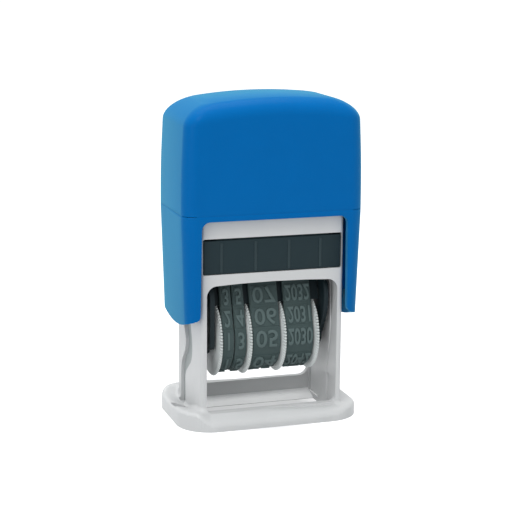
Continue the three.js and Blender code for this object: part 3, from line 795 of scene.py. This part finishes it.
dress(cartridge_tray, "cartridge", "cartridge", "ink_cartridge")


def join_in(bm, part):
    """Adds a mesh to another and frees it."""
    carrier = bpy.data.meshes.new("carrier")
    part.to_mesh(carrier)
    part.free()
    bm.from_mesh(carrier)
    bpy.data.meshes.remove(carrier)


rib_half = 0.33
rib_proud = 0.15
rib_sunk = 0.1
rib_rise = (cartridge_foot + 0.35, cartridge_top - 0.95)
ribs = bmesh.new()
for place in (-12.3, -4.2, 3.8, 11.4):
    depths = (plate_front - rib_proud, plate_front + rib_sunk)
    rib = block((place - rib_half, place + rib_half), depths, rib_rise)
    soften(rib, 0.11, 3)
    join_in(ribs, rib)
# The ribs are a lighter slate than the plate: a painted highlight along them
rib_highlight_finish = moulded_plastic("slate_plastic_rib_highlight", (0.024, 0.042, 0.048), 0.45, 0.1, 0.2)
cartridge_ribs = to_object("cartridge_ribs", ribs, rib_highlight_finish)
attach(cartridge_ribs, "cartridge")

# Ink pad
# A block of felt soaked with dark blue ink, held in the tray. The date face rests against its
# underside, which has taken a slight crown.
pad_gap = 0.1
pad_crown = 0.12
pad_low, pad_high = [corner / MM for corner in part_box("ink_pad")]
pad = block(*[(pad_low[n] + pad_gap / 2, pad_high[n] - pad_gap / 2) for n in range(3)])
soften(pad, 0.5, 3)
pad_sides = [edge for edge in pad.edges if edge.calc_length() > 5]
bmesh.ops.subdivide_edges(pad, edges=pad_sides, cuts=20, use_grid_fill=True)
pad_middle = (pad_low + pad_high) / 2
pad_reach = (pad_high - pad_low) / 2
for vert in pad.verts:
    across = (vert.co.x - pad_middle.x) / pad_reach.x
    along = (vert.co.y - pad_middle.y) / pad_reach.y
    if vert.co.z < pad_middle.z:
        vert.co.z += pad_crown * (across**2 + along**2) / 2


def inked_felt(name, colour):
    """Pressed wool felt: tangled fibres, soaked, with drier paler flecks."""
    finish = bpy.data.materials.new(name)
    finish.use_nodes = True
    nodes = finish.node_tree.nodes
    links = finish.node_tree.links
    shader = nodes["Principled BSDF"]
    shader.inputs["Roughness"].default_value = 0.85
    shader.inputs["Specular IOR Level"].default_value = 0.25
    place = nodes.new("ShaderNodeTexCoord")
    fibres = nodes.new("ShaderNodeTexNoise")
    fibres.inputs["Scale"].default_value = 3400
    fibres.inputs["Detail"].default_value = 4
    fibres.inputs["Distortion"].default_value = 2.5
    links.new(place.outputs["Object"], fibres.inputs["Vector"])
    ink = nodes.new("ShaderNodeValToRGB")
    ink.color_ramp.elements[0].position = 0.35
    ink.color_ramp.elements[0].color = (*colour, 1)
    ink.color_ramp.elements[1].position = 0.75
    ink.color_ramp.elements[1].color = (*[3 * part for part in colour], 1)
    links.new(fibres.outputs["Fac"], ink.inputs["Fac"])
    links.new(ink.outputs["Color"], shader.inputs["Base Color"])
    nap = nodes.new("ShaderNodeBump")
    nap.inputs["Strength"].default_value = 0.8
    nap.inputs["Distance"].default_value = 0.08 * MM
    links.new(fibres.outputs["Fac"], nap.inputs["Height"])
    links.new(nap.outputs["Normal"], shader.inputs["Normal"])
    return finish


felt_pad = to_object("felt_pad", pad, inked_felt("inked_felt", (0.006, 0.008, 0.03)))
dress(felt_pad, "cartridge", "pad", "ink_pad")

# Yoke
# A dark moulding that hangs in the cap's roof. Its two thin legs run down inside the stand and
# carry the date unit, and its post keeps the spring in the middle.


def rod(radius, span, y, z, rim=0.15):
    """A round bar along X, its ends rounded off by the rim's width."""
    bm = bmesh.new()
    length = abs(span[1] - span[0])
    bmesh.ops.create_cone(
        bm, cap_ends=True, segments=48, radius1=radius, radius2=radius, depth=length
    )
    if rim:
        ends = [edge for edge in bm.edges if abs(edge.verts[0].co.z - edge.verts[1].co.z) < rim]
        round_off(bm, ends, rim, 2)
    turn = Vector((0, 0, 1)).rotation_difference(Vector((1, 0, 0))).to_matrix()
    bmesh.ops.rotate(bm, cent=(0, 0, 0), matrix=turn, verts=bm.verts)
    bmesh.ops.translate(bm, vec=((span[0] + span[1]) / 2, y, z), verts=bm.verts)
    return bm


pivot_height = 28.2
pin_radius = 1.2
bore_gap = 0.1
yoke_low, yoke_high = [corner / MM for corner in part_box("yoke")]
leg_inner = 14.6
leg_outer = yoke_high.x - 0.15
leg_half_depth = 2.5
bridge_foot = 71.3
joint_top = bridge_foot + 0.5
post_radius = 2.9
post_tip_radius = 2.5
post_foot = 65.2
yoke = block((yoke_low.x, yoke_high.x), (yoke_low.y, yoke_high.y), (bridge_foot, yoke_high.z))
post = bmesh.new()
bmesh.ops.create_cone(
    post,
    cap_ends=True,
    segments=48,
    radius1=post_tip_radius,
    radius2=post_radius,
    depth=joint_top - post_foot,
)
bmesh.ops.translate(post, vec=(0, 0, (joint_top + post_foot) / 2), verts=post.verts)
yoke = carve(yoke, post, "UNION")
leg_outline = oblong((-leg_half_depth, leg_half_depth), (yoke_low.z, joint_top))
leg_corners = dict.fromkeys((0, 1), nearly_full * leg_half_depth)
for side in (-1, 1):
    leg = prism(leg_outline, "X", (side * leg_inner, side * leg_outer), leg_corners, 16)
    yoke = carve(yoke, leg, "UNION")
    through = (side * (leg_inner - past), side * (leg_outer + past))
    yoke = carve(yoke, rod(pin_radius + bore_gap / 2, through, 0, pivot_height, rim=0))
soften(yoke, 0.15)
unit_finish = moulded_plastic("dark_plastic", (0.008, 0.017, 0.021), 0.5, grain=0.1, shine=0.2)
dress(to_object("yoke_frame", yoke, unit_finish), "cap", "unit", "yoke")

# Return spring
# Drawn steel wire coiled in six turns. It stands in the cup on the stand's deck, pushes the
# yoke up, and is pressed together as the cap goes down.
spring_radius = 4.1
spring_wire = 0.8
spring_turns = 6
turn_steps = 40
spring_low, spring_high = [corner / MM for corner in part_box("return_spring")]
spring_rise = spring_high.z - spring_low.z - spring_wire
spring = bmesh.new()
bmesh.ops.create_circle(spring, cap_ends=True, segments=12, radius=spring_wire / 2)
stand_up = Vector((0, 0, 1)).rotation_difference(Vector((0, 1, 0))).to_matrix()
bmesh.ops.rotate(spring, cent=(0, 0, 0), matrix=stand_up, verts=spring.verts)
bmesh.ops.translate(
    spring, vec=(spring_radius, 0, spring_low.z + spring_wire / 2), verts=spring.verts
)
bmesh.ops.spin(
    spring,
    geom=spring.verts[:] + spring.edges[:] + spring.faces[:],
    cent=(0, 0, 0),
    axis=(0, 0, 1),
    dvec=(0, 0, spring_rise / (spring_turns * turn_steps)),
    angle=2 * math.pi * spring_turns,
    steps=spring_turns * turn_steps,
)
bmesh.ops.recalc_face_normals(spring, faces=spring.faces[:])


def drawn_steel(name, colour, roughness):
    """Drawn steel wire and rod: fine lengthways scratches and slight stains."""
    finish = bpy.data.materials.new(name)
    finish.use_nodes = True
    nodes = finish.node_tree.nodes
    links = finish.node_tree.links
    shader = nodes["Principled BSDF"]
    shader.inputs["Metallic"].default_value = 1
    place = nodes.new("ShaderNodeTexCoord")
    stretch = nodes.new("ShaderNodeMapping")
    stretch.inputs["Scale"].default_value = (0.15, 1, 1)
    links.new(place.outputs["Object"], stretch.inputs["Vector"])
    lines = nodes.new("ShaderNodeTexNoise")
    lines.inputs["Scale"].default_value = 4000
    lines.inputs["Detail"].default_value = 3
    links.new(stretch.outputs["Vector"], lines.inputs["Vector"])
    stain = nodes.new("ShaderNodeMix")
    stain.data_type = "RGBA"
    stain.inputs[6].default_value = (*[0.8 * part for part in colour], 1)
    stain.inputs[7].default_value = (*colour, 1)
    links.new(lines.outputs["Fac"], stain.inputs["Factor"])
    links.new(stain.outputs[2], shader.inputs["Base Color"])
    dull = nodes.new("ShaderNodeMapRange")
    dull.inputs["To Min"].default_value = roughness - 0.06
    dull.inputs["To Max"].default_value = roughness + 0.1
    links.new(lines.outputs["Fac"], dull.inputs["Value"])
    links.new(dull.outputs["Result"], shader.inputs["Roughness"])
    return finish


steel_finish = drawn_steel("drawn_steel", (0.56, 0.57, 0.58), 0.28)
spring_coil = to_object("spring_coil", spring, steel_finish)
dress(spring_coil, "stand", "steel", "return_spring")
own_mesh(spring_coil)

# Pivot pins, wheel axle and tie
# Drawn steel rods with rounded ends, and a moulded tie with a web. The pins join the yoke to
# the cheeks, the axle carries the setting wheels, and the tie holds the cheeks together.
web = [(-4.75, 27.55), (-4.1, 28.05), (-2.2, 28.75), (0.4, 28.95), (0.4, 32.7), (-3.05, 32.7)]
web_half = 13.05
for node, body, slot, finish in (
    ("pivot_pin_left", "cap", "steel", steel_finish),
    ("pivot_pin_right", "cap", "steel", steel_finish),
    ("wheel_axle", "date_unit", "steel", steel_finish),
    ("unit_tie", "date_unit", "unit", unit_finish),
):
    low, high = [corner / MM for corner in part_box(node)]
    bar = rod((high.z - low.z) / 2, (low.x, high.x), 0, (low.z + high.z) / 2)
    if node == "unit_tie":
        bar = carve(bar, prism(web, "X", (-web_half, web_half)), "UNION")
    dress(to_object(node + "_rod", bar, finish), body, slot, node)

# Cheeks
# The two dark side plates of the date unit, moulded. Each has bores for the pin, the tie, the
# axle and the type bar, and a boss round the axle.
wheel_height = 19.3
axle_radius = 1.2
tie_height = 30.975
tie_radius = 0.9
boss_radius = 2.4
tenon_half = 0.8
tenon_height = 34.25
cheek_inner = 13.3
cheek_outer = 14.4
cheek_boss = {-1: 0.5, 1: 1.15}
cheek_half = 8.1
for side, node in ((-1, "cheek_left"), (1, "cheek_right")):
    # The left cheek reaches further down in front
    front = [(-4, 17), (-cheek_half, 18.1)] if side < 0 else [(-4, 19), (-cheek_half, 25.2)]
    outline = [
        (-3.6, 35.6),
        (3.6, 35.6),
        (cheek_half, 31),
        (cheek_half, 24),
        (4, 19),
        (4, wheel_height - 4),
        (-4, wheel_height - 4),
        *front,
        (-cheek_half, 31),
    ]
    rounds = {0: 0.8, 1: 0.8, 2: 2, 3: 3, 5: 3.6, 6: 3.6, 8: 0.9 if side < 0 else 3, 9: 2}
    cheek = prism(outline, "X", (side * cheek_inner, side * cheek_outer), rounds, 12)
    boss_span = (side * (cheek_inner - cheek_boss[side]), side * (cheek_inner + sunk))
    boss = rod(boss_radius, boss_span, 0, wheel_height, rim=0)
    cheek = carve(cheek, boss, "UNION")
    through = (side * (cheek_inner - past), side * (cheek_outer + past))
    for radius, height in (
        (axle_radius, wheel_height),
        (pin_radius, pivot_height),
        (tie_radius, tie_height),
    ):
        cheek = carve(cheek, rod(radius + bore_gap / 2, through, 0, height, rim=0))
    half = tenon_half + bore_gap / 2
    tenon_slot = block(through, (-half, half), (tenon_height - half, tenon_height + half))
    cheek = carve(cheek, tenon_slot)
    soften(cheek, 0.14)
    dress(to_object(node + "_plate", cheek, unit_finish), "date_unit", "unit", node)

# Type bar
# A dark moulded bar between the cheeks. The bands run over its rounded top, which backs the
# date face, and a square tenon at each end sits in the cheek.
bar_low, bar_high = [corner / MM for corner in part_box("type_bar")]
bar_half_depth = 2.5
bar_radius = 0.9
bar_outline = oblong((-bar_half_depth, bar_half_depth), (bar_low.z, bar_high.z))
bar_span = (-cheek_inner + bore_gap, cheek_inner - bore_gap)
type_bar = prism(bar_outline, "X", bar_span, {2: bar_radius, 3: bar_radius})
tenons = block(
    (bar_low.x, bar_high.x),
    (-tenon_half, tenon_half),
    (tenon_height - tenon_half, tenon_height + tenon_half),
)
type_bar = carve(type_bar, tenons, "UNION")
soften(type_bar, 0.12)
dress(to_object("type_bar_body", type_bar, unit_finish), "date_unit", "unit", "type_bar")

# Setting wheels
# Pale moulded discs with a round-toothed rim for the fingertip, and a hub on one side that
# carries the rubber band. They turn on the axle.
wheel_radius = 9.48
tooth_root = 8.5
tooth_count = 80
tooth_steps = 8
bead_steps = 8
bead_share = 0.8
rim_width = 1.2
rim_edge = 0.42
flat_inner = 2.6
flat_outer = 7.6
hub_radius = 7.28
hub_edge = 0.15
wheel_bore = axle_radius + bore_gap / 2
wheel_finish = moulded_plastic("pale_wheel_plastic", (0.72, 0.75, 0.745), 0.42, 0.05, 0.4)
wheels = (
    ("day_tens_wheel", "tens_wheel", 1),
    ("day_units_wheel", "units_wheel", -1),
    ("month_wheel", "months_wheel", -1),
    ("year_wheel", "years_wheel", -1),
)
for node, body, hub_side in wheels:
    low, high = [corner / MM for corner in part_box(node)]
    rim_left = low.x if hub_side > 0 else high.x - rim_width
    rim_right = rim_left + rim_width
    tooth_middle = (rim_left + rim_edge + rim_right) / 2
    tooth_half = (rim_right - rim_left - rim_edge) / 2
    bead = [
        (
            tooth_middle - tooth_half * math.cos(math.pi * n / bead_steps),
            tooth_root + (wheel_radius - tooth_root) * math.sin(math.pi * n / bead_steps),
        )
        for n in range(bead_steps + 1)
    ]
    hub_rim = hub_radius - hub_edge
    right_hub = [(rim_right, hub_radius), (high.x - hub_edge, hub_radius), (high.x, hub_rim)]
    left_hub = [(low.x, hub_rim), (low.x + hub_edge, hub_radius), (rim_left, hub_radius)]
    if hub_side > 0:
        section = [(rim_left, wheel_bore), (rim_left, flat_inner), (rim_left, flat_outer)]
        section += [*bead, *right_hub, (high.x, wheel_bore)]
    else:
        section = [(low.x, wheel_bore), *left_hub, (rim_left, flat_outer)]
        section += [*bead, (high.x, wheel_bore)]
    wheel = bmesh.new()
    ring = [wheel.verts.new((x, 0, wheel_height + radius)) for x, radius in section]
    outline_edges = [wheel.edges.new(pair) for pair in zip(ring, ring[1:] + ring[:1])]
    bmesh.ops.spin(
        wheel,
        geom=ring + outline_edges,
        cent=(0, 0, wheel_height),
        axis=(1, 0, 0),
        angle=2 * math.pi,
        steps=tooth_count * tooth_steps,
        use_merge=True,
    )
    # Round teeth are cut into the bead, with a narrow gap between them
    for vert in wheel.verts:
        y, z = vert.co.y, vert.co.z - wheel_height
        radius = math.hypot(y, z)
        if radius > tooth_root + 0.01:
            turn = (math.atan2(z, y) * tooth_count / (2 * math.pi)) % 1
            bulge = math.sqrt(max(0, 1 - ((2 * turn - 1) / bead_share) ** 2))
            scale = (tooth_root + (radius - tooth_root) * bulge) / radius
            vert.co.y *= scale
            vert.co.z = wheel_height + z * scale
    bmesh.ops.recalc_face_normals(wheel, faces=wheel.faces[:])
    dress(to_object(node.replace("wheel", "disc"), wheel, wheel_finish, 50), body, "wheel", node)

# Date bands
# Moulded rubber bands that run round a wheel's hub and over the type bar. Each has thirteen
# blocks with raised type on them, mirrored and head down, in plain numbers.
band_thickness = 0.88
band_hub = 8.3
band_corner = 1.85
corner_y = 1.6
corner_z = 35.05
lean = math.radians(18.25)
corner_rise = corner_z - wheel_height
hub_run = band_hub * lean
straight_run = math.sqrt(corner_y**2 + corner_rise**2 - (band_hub - band_corner) ** 2)
corner_run = band_corner * (math.pi / 2 - lean)
half_length = hub_run + straight_run + corner_run + corner_y
under_run = math.pi * band_hub
band_length = 2 * half_length + under_run


def band_place(along, height):
    """Y and Z on a band's loop. It starts in front, level with the axle, and runs up."""
    along %= band_length
    if along > 2 * half_length:
        turn = (along - 2 * half_length) / band_hub
        reach = band_hub + height
        return reach * math.cos(turn), wheel_height - reach * math.sin(turn)
    rear = along > half_length
    if rear:
        along = 2 * half_length - along
    if along < hub_run:
        turn = along / band_hub
        reach = band_hub + height
        y, z = -reach * math.cos(turn), wheel_height + reach * math.sin(turn)
    elif along < hub_run + straight_run:
        share = (along - hub_run) / straight_run
        reach = band_hub + height + share * (band_corner - band_hub)
        y = -share * corner_y - reach * math.cos(lean)
        z = wheel_height + share * corner_rise + reach * math.sin(lean)
    elif along < hub_run + straight_run + corner_run:
        turn = lean + (along - hub_run - straight_run) / band_corner
        reach = band_corner + height
        y, z = -corner_y - reach * math.cos(turn), corner_z + reach * math.sin(turn)
    else:
        y, z = along - half_length, corner_z + band_corner + height
    return (-y if rear else y), z


slot_pitch = 5.14
first_slot = 0.46
slot_count = 13
block_length = 4.5
block_height = 0.16
block_inset = 0.2
type_height = 0.5
type_tall = 3.9
figure_wide = 0.48
wrap_step = 0.6
band_cuts = 135
band_finish = moulded_plastic("band_rubber", (0.05, 0.078, 0.078), 0.6, grain=0.25, shine=0.3)
# The type is a lighter grey-green than the rubber: a painted highlight on its raised strokes
type_highlight_finish = moulded_plastic("type_painted_highlight", (0.095, 0.135, 0.135), 0.6, grain=0.25, shine=0.3)


def cut_across(bm, low, high):
    """Cuts a flat part along its length, so that it can follow the band's bend."""
    for cut in range(1, math.ceil((high - low) / wrap_step)):
        bmesh.ops.bisect_plane(
            bm,
            geom=bm.verts[:] + bm.edges[:] + bm.faces[:],
            plane_co=(0, low + cut * wrap_step, 0),
            plane_no=(0, 1, 0),
        )


def raised_type(words, middle, along, width):
    """Raised type on a flat band, a mirror image and head down."""
    curve = bpy.data.curves.new("type", "FONT")
    curve.body = words
    curve.align_x = "CENTER"
    curve.resolution_u = 3
    curve.extrude = 0.05
    curve.offset = 0.02 - 0.008 * width
    curve.bevel_depth = 0.016
    curve.bevel_resolution = 0
    holder = bpy.data.objects.new("type", curve)
    bpy.context.scene.collection.objects.link(holder)
    mesh = bpy.data.meshes.new_from_object(
        holder.evaluated_get(bpy.context.evaluated_depsgraph_get())
    )
    bm = bmesh.new()
    bm.from_mesh(mesh)
    bpy.data.objects.remove(holder)
    bpy.data.curves.remove(curve)
    bpy.data.meshes.remove(mesh)
    bmesh.ops.remove_doubles(bm, verts=bm.verts, dist=collapsed)
    reach = [(min(place), max(place)) for place in zip(*[vert.co for vert in bm.verts])]
    word_middle, line_middle = [(low + high) / 2 for low, high in reach[:2]]
    figure_tall = reach[1][1] - reach[1][0]
    low_z, high_z = reach[2]
    for vert in bm.verts:
        share = (vert.co.z - low_z) / (high_z - low_z)
        vert.co = (
            middle + (vert.co.x - word_middle) * width / figure_wide,
            along - (vert.co.y - line_middle) * type_tall / figure_tall,
            block_height / 2 + share * (type_height - block_height / 2),
        )
    bmesh.ops.reverse_faces(bm, faces=bm.faces[:])
    bm.normal_update()
    # All the type takes the band's second, lighter finish: the painted highlight
    for face in bm.faces:
        face.material_index = 1
    cut_across(bm, along - type_tall / 2, along + type_tall / 2)
    return bm


bands = {
    "day_tens_band": (1.6, [str((k + 1) % 4) for k in range(slot_count)]),
    "day_units_band": (1.75, [str((k + 3) % 10) for k in range(slot_count)]),
    "month_band": (2.7, [f"{5 + k:02d}" if k < 8 else f"{k - 8:02d}" for k in range(slot_count)]),
    "year_band": (1.45, [str(2030 + k) for k in range(slot_count)]),
}
for node, (figure_width, words) in bands.items():
    # A band and its blocks are made flat, and then laid round the loop
    low, high = [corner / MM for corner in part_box(node)]
    band = block((low.x, high.x), (0, band_length), (-band_thickness, 0))
    round_off(band, [edge for edge in band.edges if runs_along(edge, 1)], 0.12, 2)
    ends = [face for face in band.faces if abs(face.normal.y) > 0.9]
    bmesh.ops.delete(band, geom=ends, context="FACES_ONLY")
    long_edges = [edge for edge in band.edges if runs_along(edge, 1)]
    bmesh.ops.subdivide_edges(band, edges=long_edges, cuts=band_cuts, use_grid_fill=True)
    for slot, word in enumerate(words):
        along = first_slot + slot * slot_pitch
        span = (along - block_length / 2, along + block_length / 2)
        plinth = block((low.x + block_inset, high.x - block_inset), span, (-0.1, block_height))
        upper = [edge for edge in plinth.edges if min(v.co.z for v in edge.verts) > 0]
        round_off(plinth, upper, 0.1, 2)
        cut_across(plinth, *span)
        join_in(band, plinth)
        # The month's band has a blank between its 12 and its 01
        if node != "month_band" or int(word):
            join_in(band, raised_type(word, (low.x + high.x) / 2, along, figure_width))
    for vert in band.verts:
        vert.co.yz = band_place(vert.co.y, vert.co.z)
    bmesh.ops.remove_doubles(band, verts=band.verts, dist=seam_gap)
    rubber = to_object(node.replace("band", "rubber"), band, band_finish)
    rubber.data.materials.append(type_highlight_finish)
    dress(rubber, "date_unit", "band", node)
